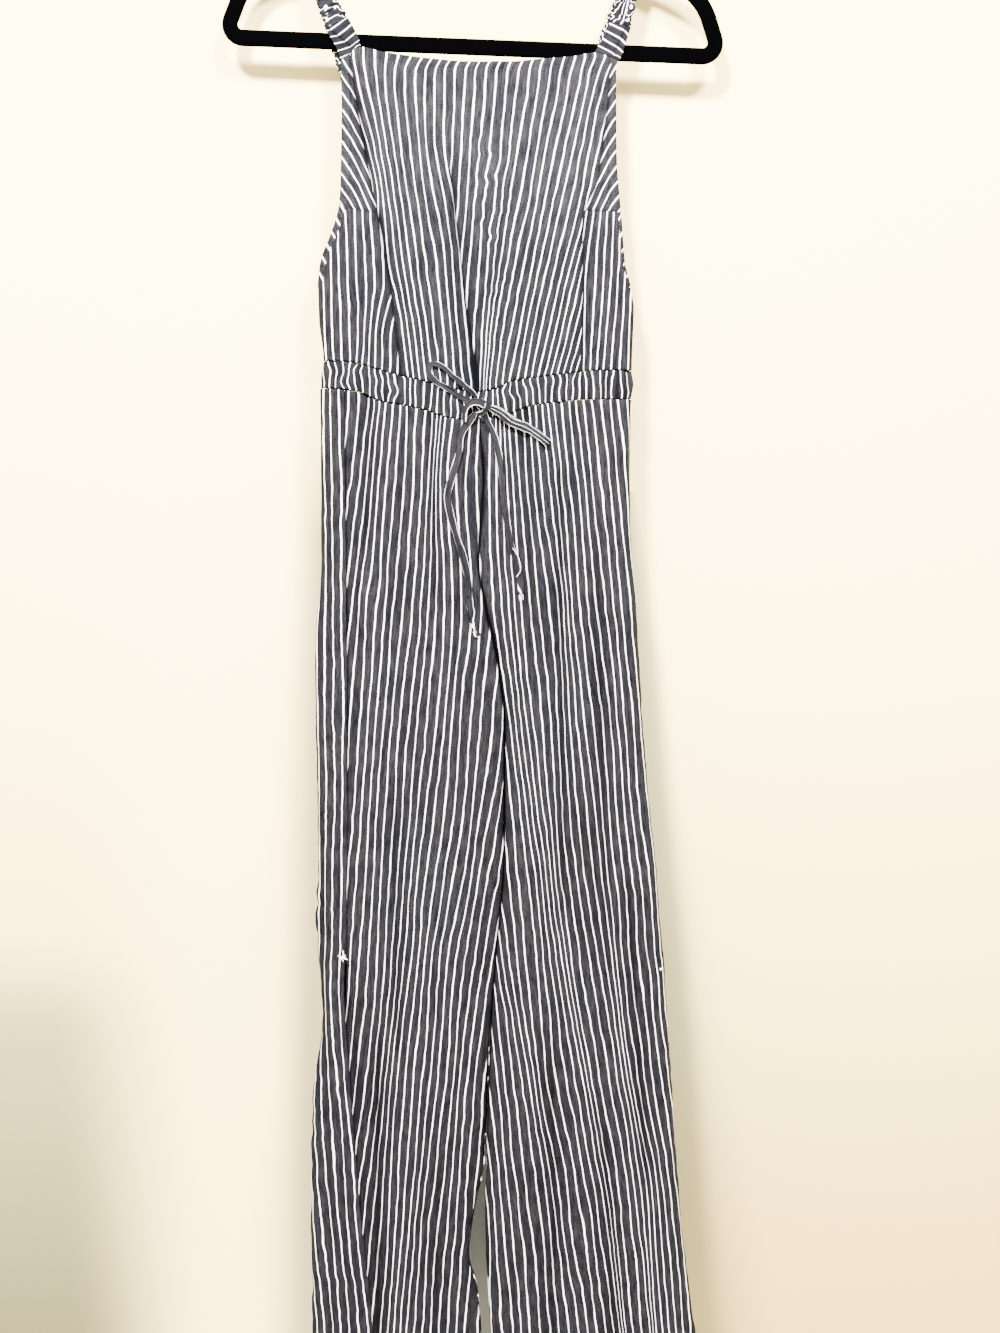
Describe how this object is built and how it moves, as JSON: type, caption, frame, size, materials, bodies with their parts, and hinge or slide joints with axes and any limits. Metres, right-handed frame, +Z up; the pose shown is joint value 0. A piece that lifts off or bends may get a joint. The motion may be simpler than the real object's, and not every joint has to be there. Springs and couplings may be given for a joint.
{
  "type": "jumpsuit on a coat hanger",
  "caption": "Striped sleeveless wide-legged jumpsuit with a drawstring waist and ruched straps, hanging flat from a slim flocked hanger.",
  "frame": {"origin": "the inner top of the hanger's hook, where it rests on what holds it", "axes": "+Z up, the jumpsuit's front faces -Y, its left side as seen from the front is -X"},
  "size_m": [0.4517, 0.0512, 1.561],
  "materials": {
    "striped_cotton": "matte crinkled cotton, blue-grey and white stripes",
    "black_flock": "black velvet flocking",
    "plated_wire": "bright plated steel wire"
  },
  "bodies": {
    "root": {"bodice_front": "striped_cotton", "bodice_back": "striped_cotton", "waist_casing_front": "striped_cotton", "waist_casing_back": "striped_cotton", "leg_front_left": "striped_cotton", "leg_front_right": "striped_cotton", "leg_back_left": "striped_cotton", "leg_back_right": "striped_cotton", "strap_tab_left": "striped_cotton", "strap_tab_right": "striped_cotton", "strap_ruched_left": "striped_cotton", "strap_ruched_right": "striped_cotton", "tie_knot": "striped_cotton", "tie_loop_left": "striped_cotton", "tie_loop_right": "striped_cotton", "tie_tail_left": "striped_cotton", "tie_tail_right": "striped_cotton", "hanger_frame": "black_flock", "hanger_hook": "plated_wire"}
  },
  "joints": []
}
